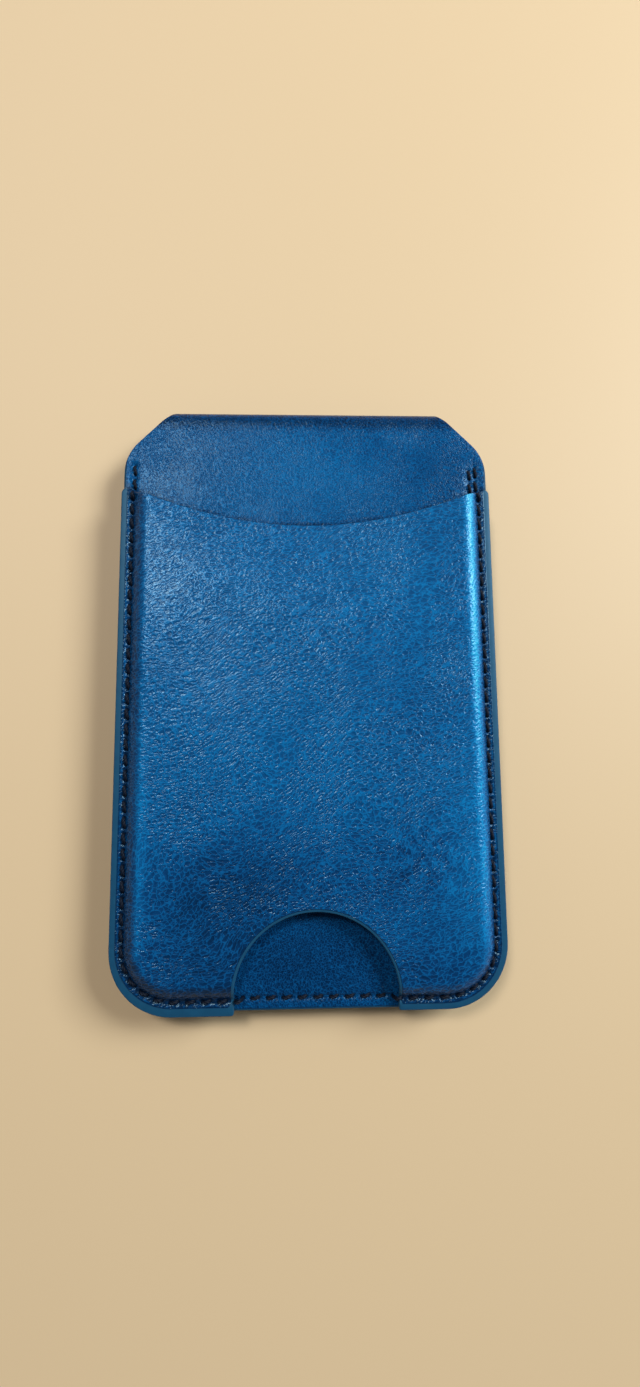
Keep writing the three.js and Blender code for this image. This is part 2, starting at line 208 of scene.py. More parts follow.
def thin_out(points, spacing):
    """Drops each point that lies closer than spacing to an earlier one."""
    cells = {}
    kept = []
    for index, (x, y) in enumerate(points):
        column, row = int(x // spacing), int(y // spacing)
        near = []
        for around in ((column + i, row + j) for i in (-1, 0, 1) for j in (-1, 0, 1)):
            near += cells.get(around, [])
        if all((x - a) ** 2 + (y - b) ** 2 >= spacing ** 2 for a, b in near):
            cells.setdefault((column, row), []).append((x, y))
            kept.append(index)
    return points[kept]


def smooth(t):
    """A step that eases from 0 to 1 as t does."""
    t = np.clip(t, 0, 1)
    return t * t * (3 - 2 * t)


# ---- The wallet's outline, its seam and its surfaces ----

CHAMFER_SUM = TOP_HALF_WIDTH + HALF_LENGTH  # x + y along a chamfer
SHOULDER_X = HALF_WIDTH - SHOULDER_RADIUS
SHOULDER_Y = CHAMFER_SUM - SHOULDER_RADIUS * math.sqrt(2) - SHOULDER_X
CORNER_X = HALF_WIDTH - CORNER_RADIUS
CORNER_Y = -HALF_LENGTH + CORNER_RADIUS


def wallet_half_width(y):
    """Half the wallet's width at each y, over its shoulders and chamfers."""
    above = np.clip(y - SHOULDER_Y, 0, None)
    shoulder = SHOULDER_X + np.sqrt(np.clip(SHOULDER_RADIUS ** 2 - above ** 2, 0, None))
    tangent_y = SHOULDER_Y + SHOULDER_RADIUS / math.sqrt(2)
    return np.where(y > tangent_y, CHAMFER_SUM - y, shoulder)


def edge_distance(x, y):
    """How far each point is inside the wallet's sides and bottom."""
    corner_x = np.abs(x) - CORNER_X
    corner_y = CORNER_Y - y
    straight = np.minimum(HALF_WIDTH - np.abs(x), y + HALF_LENGTH)
    rounded = CORNER_RADIUS - np.hypot(corner_x, corner_y)
    return np.where((corner_x > 0) & (corner_y > 0), rounded, straight)


def mouth_distance(x, y):
    """How far each point is below the pocket's mouth."""
    return np.hypot(x, y - MOUTH_CENTRE_Y - MOUTH_RADIUS) - MOUTH_RADIUS


def pocket_loop(step):
    """The pocket front's outline, with its mouth and thumb notch, anticlockwise."""
    clipped = 0.6
    half_angle = math.degrees(math.asin((HALF_WIDTH - clipped) / MOUTH_RADIUS))
    mouth = arc((0, MOUTH_CENTRE_Y + MOUTH_RADIUS), MOUTH_RADIUS, half_angle - 90, -half_angle - 90)
    side_top = mouth[0][1] - clipped
    parts = [
        mouth,
        [[-HALF_WIDTH, side_top]],
        arc((-CORNER_X, CORNER_Y - FOOT_DROP), CORNER_RADIUS, 180, 270),
        [[NOTCH_X - NOTCH_RADIUS, -HALF_LENGTH - FOOT_DROP]],
        arc((NOTCH_X, NOTCH_Y), NOTCH_RADIUS, 180, 0),
        [[NOTCH_X + NOTCH_RADIUS, -HALF_LENGTH]],
        arc((CORNER_X, CORNER_Y), CORNER_RADIUS, 270, 360),
        [[HALF_WIDTH, side_top]],
    ]
    return even_loop([np.array(p, float) for p in parts], step)


def seam_path():
    """The needle holes of the pouch seam, from the left top down, round the bottom and up the right."""
    radius = CORNER_RADIUS - SEAM_INSET
    line = np.vstack([
        [[-HALF_WIDTH + SEAM_INSET, SEAM_TOP_Y]],
        arc((-CORNER_X, CORNER_Y), radius, 180, 270),
        arc((CORNER_X, CORNER_Y), radius, 270, 360),
        [[HALF_WIDTH - SEAM_INSET, SEAM_TOP_Y]],
    ])
    along = distance_along(line)
    count = int(round(along[-1] / PITCH))
    return points_at(np.linspace(0, along[-1], count + 1), along, line)


holes = seam_path()
backtack_x = HALF_WIDTH - SEAM_INSET - 1.1  # a short second row beside the seam's right end
backtack = np.array([[backtack_x, SEAM_TOP_Y - PITCH * (k + 0.2)] for k in range(3)])


def stitch_start(way):
    """The share of the pitch at which a stitch comes out of the leather: the bottom row's are shorter."""
    return STITCH_START + 0.09 * np.abs(way[..., :1]) / PITCH


def ends_of_stitches(row):
    """Both ends of each stitch in a row of needle holes."""
    ways = np.diff(row, axis=0)
    return np.vstack([row[:-1] + stitch_start(ways) * ways, row[1:] - stitch_start(ways) * ways])


stitch_ends = np.vstack([ends_of_stitches(row) for row in (holes, backtack)])


def seam_dent(x, y, groove, pit):
    """How deep the seam pulls the leather in: a groove along it, and a pit at each needle hole."""
    line = edge_distance(x, y) - SEAM_INSET
    depth = groove * np.exp(-((line / 0.5) ** 2)) * (y < SEAM_TOP_Y + 1)
    nearby = np.flatnonzero(np.abs(line) < 2)
    if len(nearby):
        points = np.c_[x[nearby], y[nearby]]
        depth[nearby] += pit * np.exp(-((loop_distance(points, stitch_ends) / 0.32) ** 2))
    return depth


def seam_points():
    """Extra mesh points that carry the groove and the pits."""
    found = []
    for first, second in zip(holes[:-1], holes[1:]):
        way = second - first
        across = np.array([-way[1], way[0]]) / np.linalg.norm(way)
        for share in np.arange(0, 1, 1 / 6):
            for aside in (-1.1, -0.7, -0.35, 0, 0.35, 0.7, 1.1):
                found.append(first + share * way + aside * across)
    pits = []
    for hole in stitch_ends:
        pits.append(hole)
        for radius in (0.18, 0.36):
            pits += [hole + radius * np.array([math.cos(a), math.sin(a)])
                     for a in np.arange(8) * math.pi / 4]
    return np.array(pits + found)


def pocket_rise(x, y):
    """How far the pocket front stands above its flange: a moulded shoulder, easing towards the mouth."""
    softer = 0.2 * smooth(-x / 15)  # the left shoulder is a little softer
    across = np.clip((edge_distance(x, y) - SHOULDER_INSET - softer) / (SHOULDER_WIDTH + softer), 0, 1)
    moulded = 1 - (1 - across ** 1.15) ** 2.2
    below_mouth = mouth_distance(x, y)
    middle = np.cos(np.clip(np.abs(x) / (HALF_WIDTH - 4.5), 0, 1) * math.pi / 2) ** 1.2
    sag = 0.78 * middle * (1 - smooth(below_mouth / 17))
    waves = 0.05 * np.sin(0.21 * x + 0.13 * y) + 0.04 * np.sin(0.11 * x - 0.29 * y + 1.3)
    return moulded * (RISE * (1 - sag) + waves)


def front_top(x, y):
    """The height of the pocket front's outer face. Its painted edge slopes down a little."""
    painted_slope = 0.08 * (1 - smooth((edge_distance(x, y) - 0.1) / 1.0))
    return FLANGE_TOP + pocket_rise(x, y) - painted_slope - seam_dent(x, y, *FRONT_DENT)


def front_thickness(x, y):
    """The leather is pared thinner along the mouth."""
    return FRONT_THICKNESS - 0.35 * (1 - smooth(mouth_distance(x, y) / 4))


def front_underside(x, y):
    return front_top(x, y) - front_thickness(x, y) + 0.3 * seam_dent(x, y, *FRONT_DENT)


def flat_at(depth):
    """A surface with the same depth everywhere."""
    return lambda x, _: np.full_like(x, depth)


# ---- Mesh making ----

RIM_STEPS = 4  # steps in which a sheet's edge is rounded on each side


def add_object(name, data):
    """An object with the given data, in the scene."""
    obj = bpy.data.objects.new(name, data)
    bpy.context.scene.collection.objects.link(obj)
    return obj


def make_object(name, vertices, faces, attributes=None, materials=()):
    """A smooth-shaded mesh object from points in millimetres, with named point attributes."""
    mesh = bpy.data.meshes.new(name)
    mesh.from_pydata((np.asarray(vertices) * MM).tolist(), [], faces)
    for key, values in (attributes or {}).items():
        kind, field = ("FLOAT", "value") if values.ndim == 1 else ("FLOAT_VECTOR", "vector")
        attribute = mesh.attributes.new(key, kind, "POINT")
        attribute.data.foreach_set(field, values.astype(np.float32).ravel())
    mesh.polygons.foreach_set("use_smooth", [True] * len(mesh.polygons))
    mesh.update()
    for material in materials:
        mesh.materials.append(material)
    return add_object(name, mesh)


def triangles_over(loop, inner):
    """Triangles over the area inside a loop, through its points and the inner ones."""
    points = np.vstack([loop, inner])
    edges = [(k, (k + 1) % len(loop)) for k in range(len(loop))]
    found = geometry.delaunay_2d_cdt([Vector(p) for p in points], edges, [], 1, 1e-7)
    if len(found[0]) != len(points):
        raise ValueError("the outline crosses itself or meets an inner point")
    faces = []
    for a, b, c in found[2]:
        turn = (points[b][0] - points[a][0]) * (points[c][1] - points[a][1])
        turn -= (points[b][1] - points[a][1]) * (points[c][0] - points[a][0])
        faces.append((a, b, c) if turn > 0 else (a, c, b))
    return faces


def rim_rings(loop, surface, side, radius):
    """A sheet's rounded rim on one side. Each ring has its points, their depths and their edge distances."""
    rings = []
    for angle in np.radians(np.linspace(90, 0, RIM_STEPS + 1)):
        inset = radius * (1 - math.cos(angle))
        ring = offset(loop, inset)
        depth = surface(*ring.T) - side * radius * (1 - math.sin(angle))
        rings.append((ring, depth, np.full(len(ring), inset)))
    return rings


def sheet_faces(plan, count, inner_count):
    """A sheet's faces: the rim's, and the plan's triangles on both sides. count is the points in a ring."""
    rings = 2 * (RIM_STEPS + 1)
    faces = []
    for start in range(0, (rings - 1) * count, count):
        for k in range(count):
            after = (k + 1) % count
            faces.append((start + k, start + count + k, start + count + after, start + after))
    last_ring = (rings - 1) * count
    for triangle in plan:
        above = [k if k < count else k + last_ring for k in triangle]
        under = [k + last_ring if k < count else k + last_ring + inner_count for k in triangle]
        faces.append(tuple(above))
        faces.append(tuple(reversed(under)))
    return faces


def sheet(name, loop, inner, top, bottom, place, materials, round_share=0.42, tone=None, painted=None):
    """A sheet with a rounded rim. top and bottom give its depths at each flat point, and place lays it.

    tone and painted give each flat point's shade and its distance from the nearest painted edge."""
    radius = round_share * float((top(*loop.T) - bottom(*loop.T)).min())
    parts = rim_rings(loop, top, 1, radius) + rim_rings(loop, bottom, -1, radius)[::-1]
    faces = sheet_faces(triangles_over(parts[0][0], inner), len(loop), len(inner))
    inner_edge = loop_distance(inner, loop)
    parts += [(inner, surface(*inner.T), inner_edge) for surface in (top, bottom)]
    flat, depth, edge = (np.concatenate(kind) for kind in zip(*parts))
    attributes = {"flat": np.c_[flat, depth], "edge": edge}
    if tone is not None:
        attributes["tone"] = tone(*flat.T)
    if painted is not None:
        attributes["edge"] = painted(*flat.T)
    return make_object(name, place(*flat.T, depth), faces, attributes, materials)


def lie_flat(x, y, depth):
    """Places a sheet whose flat form is already its real one: depth is height."""
    return np.c_[x, y, depth]


class Profile:
    """A line in the (y, z) plane that a strip follows, measured along its length from a start value."""

    def __init__(self, points, start):
        self.points = np.array(points, float)
        self.along = start + distance_along(self.points)
        ways = np.gradient(self.points, axis=0)
        ways /= np.linalg.norm(ways, axis=1)[:, None]
        self.normals = np.c_[-ways[:, 1], ways[:, 0]]

    def y(self, s):
        return np.interp(s, self.along, self.points[:, 0])

    def place(self, x, s, depth):
        """Lays the flat point (x, s), depth above the line's left-hand side."""
        on_line = points_at(s, self.along, self.points)
        normals = points_at(s, self.along, self.normals)
        return np.c_[x, on_line + depth[:, None] * normals]


def straight(y_end, level):
    """A flat line at one height, from the bottom edge of the wallet to y_end."""
    return Profile([(-HALF_LENGTH, level), (y_end, level)], -HALF_LENGTH)


def round_the_fold(radius):
    """The half circle of the fold at one radius, from the rear panel's side to the pouch's."""
    return arc((FOLD_START, FOLD_RADIUS), radius, -90, 90, 0.1)


def strip_loop(profile, inset, round_start, round_end, step):
    """The outline of a strip that follows the profile and is as wide as the wallet all along.

    A rounded end has the wallet's bottom corners, and a plain one runs straight across."""
    low = profile.along[0] + (CORNER_RADIUS if round_start else 0)
    high = profile.along[-1] - (CORNER_RADIUS if round_end else 0)
    radius = CORNER_RADIUS - inset
    places = np.linspace(low, high, int((high - low) / 0.1) + 2)
    right = np.c_[wallet_half_width(profile.y(places)) - inset, places]
    parts = [right]
    if round_end:
        parts += [arc((CORNER_X, high), radius, 0, 90), arc((-CORNER_X, high), radius, 90, 180)]
    parts.append(right[::-1] * [-1, 1])
    if round_start:
        parts += [arc((-CORNER_X, low), radius, 180, 270), arc((CORNER_X, low), radius, 270, 360)]
    return even_loop(parts, step, 0.5)


# ---- Materials ----


class Shader:
    """Adds and links the nodes of one material. Flat places are in millimetres, object places in metres."""

    def __init__(self, name):
        self.material = bpy.data.materials.new(name)
        self.material.use_nodes = True
        self.tree = self.material.node_tree
        self.tree.nodes.clear()
        self.surface = self.node("ShaderNodeBsdfPrincipled", {})
        self.node("ShaderNodeOutputMaterial", {0: self.surface.outputs[0]})

    def feed(self, socket, value):
        """Sets a socket to a value, or links an output to it."""
        if isinstance(value, bpy.types.NodeSocket):
            self.tree.links.new(value, socket)
        else:
            socket.default_value = value

    def node(self, kind, inputs, **settings):
        """Adds a node and feeds its inputs, which are given by name or number."""
        node = self.tree.nodes.new(kind)
        for key, value in settings.items():
            setattr(node, key, value)
        for key, value in inputs.items():
            self.feed(node.inputs[key], value)
        return node

    def math(self, operation, first, second=0.0):
        return self.node("ShaderNodeMath", {0: first, 1: second}, operation=operation).outputs[0]

    def plus(self, first, second):
        return self.math("ADD", first, second)

    def times(self, first, second):
        return self.math("MULTIPLY", first, second)

    def around(self, value, middle, weight):
        """The value's difference from its middle, times a weight."""
        return self.times(self.math("SUBTRACT", value, middle), weight)

    def attribute(self, name, output="Fac"):
        return self.node("ShaderNodeAttribute", {}, attribute_name=name).outputs[output]

    def object_place(self):
        return self.node("ShaderNodeTexCoord", {}).outputs["Object"]

    def stretch(self, vector, scale=(1, 1, 1), turn=0.0):
        inputs = {"Vector": vector, "Scale": scale, "Rotation": (0, 0, math.radians(turn))}
        return self.node("ShaderNodeMapping", inputs, vector_type="TEXTURE").outputs[0]

    def noise_node(self, vector, scale, detail=2.0, rough=0.5, warp=0.0):
        inputs = {"Vector": vector, "Scale": scale, "Detail": detail, "Roughness": rough, "Distortion": warp}
        return self.node("ShaderNodeTexNoise", inputs)

    def noise(self, *settings):
        return self.noise_node(*settings).outputs["Fac"]

    def crease_distance(self, vector, scale):
        """The distance from the nearest border between the cells of an irregular mosaic."""
        inputs = {"Vector": vector, "Scale": scale}
        return self.node("ShaderNodeTexVoronoi", inputs, feature="DISTANCE_TO_EDGE").outputs["Distance"]

    def span(self, value, low, high):
        """An eased step from 0, where the value is low, to 1, where it is high."""
        inputs = {"Value": value, "From Min": low, "From Max": high}
        return self.node("ShaderNodeMapRange", inputs, interpolation_type="SMOOTHSTEP").outputs[0]

    def ramp(self, value, stops):
        node = self.node("ShaderNodeValToRGB", {0: value})
        elements = node.color_ramp.elements
        while len(elements) < len(stops):
            elements.new(0.5)
        for element, (place, colour) in zip(elements, stops):
            element.position = place
            element.color = (*colour, 1)
        return node.outputs[0]

    def mix(self, share, first, second):
        """A mix of two colours. Each is an output or three numbers."""
        first, second = ((*value, 1) if isinstance(value, tuple) else value for value in (first, second))
        return self.node("ShaderNodeMix", {0: share, 6: first, 7: second}, data_type="RGBA").outputs[2]

    def mix_number(self, share, first, second):
        return self.node("ShaderNodeMix", {0: share, 2: first, 3: second}, data_type="FLOAT").outputs[0]

    def shift(self, vector, noise_node, amount):
        """The vector pushed about by a noise, for lines that wander."""
        kind = "ShaderNodeVectorMath"
        inputs = {0: noise_node.outputs["Color"], 1: (0.5, 0.5, 0.5)}
        centred = self.node(kind, inputs, operation="SUBTRACT").outputs[0]
        push = self.node(kind, {0: centred, "Scale": amount}, operation="SCALE").outputs[0]
        return self.node(kind, {0: vector, 1: push}, operation="ADD").outputs[0]

    def bump(self, height, distance_mm, strength=1.0):
        inputs = {"Strength": strength, "Distance": distance_mm * MM, "Height": height}
        self.feed(self.surface.inputs["Normal"], self.node("ShaderNodeBump", inputs).outputs[0])

    def finish(self, colour, roughness, **constants):
        self.feed(self.surface.inputs["Base Color"], colour)
        self.feed(self.surface.inputs["Roughness"], roughness)
        for key, value in constants.items():
            self.surface.inputs[key].default_value = value
        return self.material


# The dye from its darkest to its palest, whose dark and pale ends also carry painted shade and painted
# highlight, the paint on the cut edges, and the colour of the leather's shine.
DEEP = (0.001, 0.012, 0.040)
NAVY = (0.002, 0.036, 0.120)
BLUE = (0.003, 0.098, 0.268)
AZURE = (0.004, 0.185, 0.440)
PALE = (0.020, 0.360, 0.600)
PAINT = (0.005, 0.046, 0.100)
LIGHT_PAINT = (0.009, 0.072, 0.145)
GLOSS_TINT = (0.50, 0.84, 1.0, 1)


def leather_grain(s, flat, cell, wrinkle_turn, wrinkle_length):
    """The wrinkled grain: its height, and the shade that it gives the dye, which is pale in the creases."""
    swirl = s.shift(flat, s.noise_node(flat, 0.06, 2.0), 9.0)
    turned = s.stretch(swirl, (wrinkle_length, 1, 1), wrinkle_turn)
    torn = s.shift(turned, s.noise_node(flat, 0.9 / cell, 1.0), 0.9 * cell)
    from_crease = s.crease_distance(torn, 1 / cell)
    swell = s.span(from_crease, 0.40, 0.0)
    creases = s.span(from_crease, 0.14, 0.0)
    rough_place = s.shift(flat, s.noise_node(flat, 3.0, 2.0), 0.3)
    pebbles = s.span(s.crease_distance(rough_place, 2.1 / cell), 0.0, 0.34)
    ridges = s.span(s.noise(turned, 0.8 / cell, 1.0, 0.5, 0.5), 0.28, 0.72)
    coarse_here = s.span(s.noise(flat, 0.075, 2.0), 0.36, 0.62)
    height = s.times(swell, s.plus(0.30, s.times(coarse_here, 0.35)))
    height = s.plus(height, s.times(ridges, 0.28))
    height = s.plus(height, s.times(pebbles, 0.04))
    return height, s.plus(s.around(ridges, 0.5, 0.35), s.around(creases, 0.62, 0.9))


def leather_dye_and_shading(s, flat, grain_tone):
    """The colour: the dye, from the sheet's own tone, which also holds painted shade and painted highlight,
    soft mottling and the grain.
    """
    patches = s.noise(flat, 0.055, 4.0, 0.6, 0.4)
    streaks = s.noise(s.stretch(flat, (4.0, 1, 1), 32), 0.16, 3.0, 0.55)
    mottle = s.plus(s.around(patches, 0.5, 0.3), s.around(streaks, 0.5, 0.4))
    tone = s.plus(s.plus(s.attribute("tone"), mottle), grain_tone)
    shades = [(0.0, DEEP), (0.156, NAVY), (0.5, BLUE), (0.844, AZURE), (1.0, PALE)]
    return s.ramp(s.span(tone, -2.0, 2.0), shades)


def leather_material(name, cell, wrinkle_turn, wrinkle_length, depth, gloss):
    """Dyed, wrinkled leather with a smooth painted band along its cut edges and a dark line beside the band.

    cell is the grain's cell size in millimetres. The grain is drawn out by wrinkle_length along a line
    turned wrinkle_turn degrees, and depth is its height in millimetres. gloss is its specular level."""
    s = Shader(name)
    flat = s.attribute("flat", "Vector")
    edge = s.attribute("edge")
    grain, grain_tone = leather_grain(s, flat, cell, wrinkle_turn, wrinkle_length)
    fine = s.noise(flat, 6.0, 4.0, 0.7)
    dyed_here = s.span(edge, 0.95, 1.12)
    # The dark line beside the paint band; along the pocket's mouth it is painted shade.
    line = s.times(s.span(edge, 0.98, 1.10), s.span(edge, 1.45, 1.15))
    painted = s.mix(s.noise(flat, 0.7, 3.0), PAINT, LIGHT_PAINT)
    colour = s.mix(dyed_here, painted, leather_dye_and_shading(s, flat, grain_tone))
    colour = s.mix(s.times(line, 0.8), colour, DEEP)
    roughness = s.mix_number(dyed_here, 0.46, s.plus(0.19, s.times(fine, 0.08)))
    height = s.plus(grain, s.times(fine, 0.015))
    s.bump(s.times(height, dyed_here), depth)
    return s.finish(colour, roughness, **{"Specular IOR Level": gloss, "Specular Tint": GLOSS_TINT})


def lining_material():
    """Navy microfibre with a short soft nap."""
    s = Shader("navy_microfibre")
    flat = s.attribute("flat", "Vector")
    fibres = s.noise(s.stretch(flat, (1.0, 3.0, 1.0), 20), 7.0, 4.0, 0.7)
    nap = s.noise(flat, 0.35, 3.0, 0.6)
    colour = s.ramp(s.plus(s.times(fibres, 0.6), s.times(nap, 0.4)),
                    [(0.3, (0.006, 0.012, 0.03)), (0.7, (0.017, 0.032, 0.07))])
    s.bump(fibres, 0.06, 0.7)
    return s.finish(colour, 0.88, **{"Sheen Weight": 0.6, "Sheen Roughness": 0.35})


def thread_material():
    """Waxed navy thread with fine fibres."""
    s = Shader("waxed_navy_thread")
    place = s.object_place()
    fibres = s.noise(place, 9000.0, 3.0, 0.6)
    colour = s.ramp(fibres, [(0.3, (0.0012, 0.003, 0.009)), (0.75, (0.003, 0.008, 0.022))])
    s.bump(fibres, 0.03, 0.5)
    return s.finish(colour, 0.6, **{"Specular IOR Level": 0.2})


def board_material():
    """Dense fibreboard whose cut edge is painted to match the leather."""
    s = Shader("painted_fibreboard")
    place = s.object_place()
    normal = s.node("ShaderNodeNewGeometry", {}).outputs["Normal"]
    upright = s.node("ShaderNodeSeparateXYZ", {0: normal}).outputs["Z"]
    fibres = s.noise(s.stretch(place, (1, 4, 1)), 2500.0, 4.0, 0.7)
    inner = s.ramp(fibres, [(0.25, (0.09, 0.075, 0.058)), (0.8, (0.22, 0.19, 0.15))])
    painted = s.mix(s.noise(place, 600.0, 3.0), PAINT, (0.02, 0.10, 0.17))
    flat_face = s.span(s.math("ABSOLUTE", upright), 0.4, 0.6)
    s.bump(fibres, 0.05, 0.6)
    return s.finish(s.mix(flat_face, painted, inner), s.mix_number(flat_face, 0.42, 0.85))


def tape_material():
    """Grey non-woven tape: short crossed fibres."""
    s = Shader("non_woven_tape")
    flat = s.attribute("flat", "Vector")
    one = s.noise(s.stretch(flat, (1, 5, 1), 35), 6.0, 3.0)
    other = s.noise(s.stretch(flat, (5, 1, 1), 15), 6.0, 3.0)
    fibres = s.math("MAXIMUM", one, other)
    colour = s.ramp(fibres, [(0.4, (0.16, 0.165, 0.175)), (0.7, (0.36, 0.37, 0.39))])
    s.bump(fibres, 0.05, 0.8)
    return s.finish(colour, 0.9)


def metal_material(name, tint, stretch, roughness):
    """Plated or rolled metal, with fine marks along one direction."""
    s = Shader(name)
    place = s.object_place()
    marks = s.noise(s.stretch(place, stretch), 3000.0, 4.0, 0.7)
    stains = s.noise(place, 180.0, 3.0)
    dull = tuple(0.72 * value for value in tint)
    colour = s.mix(stains, dull, tint)
    rough = s.plus(roughness, s.times(marks, 0.18))
    s.bump(marks, 0.01, 0.4)
    return s.finish(colour, rough, **{"Metallic": 1.0})


front_material = leather_material("front_leather_dyed", 0.56, 25, 2.1, 0.095, 0.36)
wrap_material = leather_material("backing_leather_dyed", 0.42, 80, 1.2, 0.055, 0.15)
lining_look = lining_material()
thread_look = thread_material()
board_look = board_material()
tape_look = tape_material()
magnet_look = metal_material("nickel_plate", (0.62, 0.63, 0.65), (1, 1, 1), 0.18)
steel_look = metal_material("rolled_steel", (0.45, 0.46, 0.48), (1, 12, 1), 0.28)


# ---- The leather and linings ----


def spots(*list_of_spots):
    """A tone made of soft round spots: (x, y, radius across, radius along, strength)."""
    def tone(x, y):
        total = np.zeros_like(x)
        for cx, cy, rx, ry, strength in list_of_spots:
            total += strength * np.exp(-(((x - cx) / rx) ** 2 + ((y - cy) / ry) ** 2))
        return total
    return tone


# Spots of the front's tone. The long dark spot along the bottom is painted shade on the bottom shoulder,
# which faces away from the light, and the pale spot low on the right is a painted highlight on the right
# shoulder.
front_patches_and_shading = spots(
    (-15, -35, 15, 11, -0.75), (3, -31, 12, 8, -0.3), (18, -34, 9, 12, -0.3), (-4, -6, 20, 7, 0.12),
    (16, 20, 9, 14, 0.12), (18, -6, 9, 8, -0.25), (0, -48, 40, 6, -0.7), (28, -28, 4, 14, 0.4),
)


def wrinkle_star_shading(x, y):
    """Painted light and shade of wrinkles that run out from one place low on the right: lighter and darker
    stripes of tone, with no relief.
    """
    star_x, star_y = x - 19, y + 27
    away = np.hypot(star_x, star_y)
    return 0.35 * np.sin(7 * np.arctan2(star_y, star_x) + 0.3 * away) * np.exp(-((away / 6.5) ** 2))


def front_tone_and_shading(x, y):
    """The front's tone, with painted shade in the seam's groove and on the shoulder's wall, and a painted
    highlight along the shoulder.
    """
    edge = edge_distance(x, y)
    right_side = smooth(x / 10)
    lower_left = smooth(-x / 10) * smooth(-y / 20)
    # Painted shade in the seam's groove.
    seam = -0.6 * np.exp(-(((edge - 1.9) / 0.45) ** 2))
    # Painted shade on the shoulder's wall, wider on the left side, which faces away from the key light.
    shoulder_shade_end = smooth((4.9 - 1.7 * right_side - edge) / (0.9 - 0.3 * right_side))
    shoulder_shade = -0.65 * smooth((edge - 1.2) / 0.3) * shoulder_shade_end
    # Painted highlight along the shoulder, strongest on the right side, which faces the key light, and
    # weaker low on the left.
    ridge = (edge - 4.9 + 0.95 * right_side) / (1.0 - 0.15 * right_side)
    highlight_strength = 0.2 + (0.5 + 1.5 * smooth((y + 25) / 40)) * right_side + 0.4 * lower_left
    shoulder_highlight = highlight_strength * np.exp(-(ridge ** 2)) * smooth((y + 50) / 12)
    return front_patches_and_shading(x, y) + shoulder_shade + seam + shoulder_highlight + wrinkle_star_shading(x, y)


def front_painted_and_mouth_shade(x, y):
    """Distance from the painted edges: a wide band at the sides and a thin one at the notch. At the mouth
    the rim lies on the dark line, a painted shade.
    """
    notch = np.abs(np.hypot(x - NOTCH_X, y - NOTCH_Y) - NOTCH_RADIUS)
    # The mouth's rim is set on the dark line beside the paint band: painted shade.
    mouth = PAINT_LINE + 1.6 * np.abs(mouth_distance(x, y))
    return np.minimum(np.minimum(edge_distance(x, y), 2.4 * notch), mouth)


def pocket_front():
    """The moulded pocket front, with its lining under it."""
    loop = pocket_loop(0.3)
    rows = keep_inside(np.vstack([seam_points(), shoulder_points()]), loop, 0.62)
    inner = thin_out(np.vstack([rows, lattice(loop, 0.95, 0.75)]), 0.17)
    inner = inner[~among_rows(inner, len(rows))]
    panel = sheet("pocket_front", loop, inner, front_top, front_underside, lie_flat, [front_material],
                  tone=front_tone_and_shading, painted=front_painted_and_mouth_shade)
    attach(panel, "pouch")
    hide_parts("front_leather")

    lining_loop = offset(loop, SHEET_INSET)
    lining_top = front_lining_high[2] - RISE
    lining = sheet("pocket_front_lining", lining_loop, lattice(lining_loop, 1.4, 0.9),
                   lambda x, y: lining_top + pocket_rise(x, y),
                   lambda x, y: lining_top + pocket_rise(x, y) - LINING,
                   lie_flat, [lining_look])
    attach(lining, "pouch")
    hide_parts("front_lining")


def shoulder_points():
    """Rows of mesh points along the moulded shoulder."""
    found = []
    for inset in (2.75, 3.1, 3.5, 3.9, 4.4, 4.9, 5.5, 6.2):
        radius = CORNER_RADIUS - inset
        side = HALF_WIDTH - inset
        rows = np.arange(CORNER_Y, SEAM_TOP_Y, 0.55)
        columns = np.arange(-CORNER_X, CORNER_X, 0.55)
        found += [
            np.c_[np.full_like(rows, side), rows],
            np.c_[np.full_like(rows, -side), rows],
            np.c_[columns, np.full_like(columns, -HALF_LENGTH + inset)],
            arc((CORNER_X, CORNER_Y), radius, 271, 359, 0.5),
            arc((-CORNER_X, CORNER_Y), radius, 181, 269, 0.5),
        ]
    return np.vstack(found)


def among_rows(points, placed):
    """Which points, after the first placed ones, lie where the rows of the seam and the shoulder are."""
    distance = edge_distance(points[:, 0], points[:, 1])
    late = np.arange(len(points)) >= placed
    return late & (distance < 6.6)


def ring_points(centre, radii, spacing):
    """Circles of mesh points."""
    return np.vstack([arc(centre, radius, 0, 360, spacing)[:-1] for radius in radii])


def rounded_rectangle(centre, width, length, radius, step):
    """A closed loop round a rectangle with rounded corners."""
    x, y = width / 2 - radius, length / 2 - radius
    corners = [(x, y), (-x, y), (-x, -y), (x, -y)]
    arcs = [arc((centre[0] + right, centre[1] + up), radius, 90 * k, 90 * k + 90)
            for k, (right, up) in enumerate(corners)]
    return even_loop(arcs, step, 0.05)


def point_rows(columns, rows, stagger=0.0):
    """Rows of mesh points, with every second row shifted by stagger."""
    return np.vstack([np.c_[columns + (k % 2) * stagger, np.full_like(columns, row)]
                      for k, row in enumerate(rows)])


def wall_points(loop):
    """Two close rows of mesh points, one each side of a recess's wall."""
    return np.vstack([offset(loop, WALL_HALF), offset(loop, -WALL_HALF)])


# Spots of the backing's tone. The dark spot low in the middle lies in the thumb notch and is painted shade.
backing_patches_and_notch_shade = spots(
    (0, 40, 13, 9, 0.3), (-24, 44, 9, 7, -0.1), (26, 40, 8, 9, -0.3), (1, -46, 18, 10, -0.7),
)


def plan_y(s):
    """The wallet's y at the flat place s, on the rear panel or, past the fold, on the backing."""
    return np.where(s < FOLD_START, s, WRAP_SUM - s)


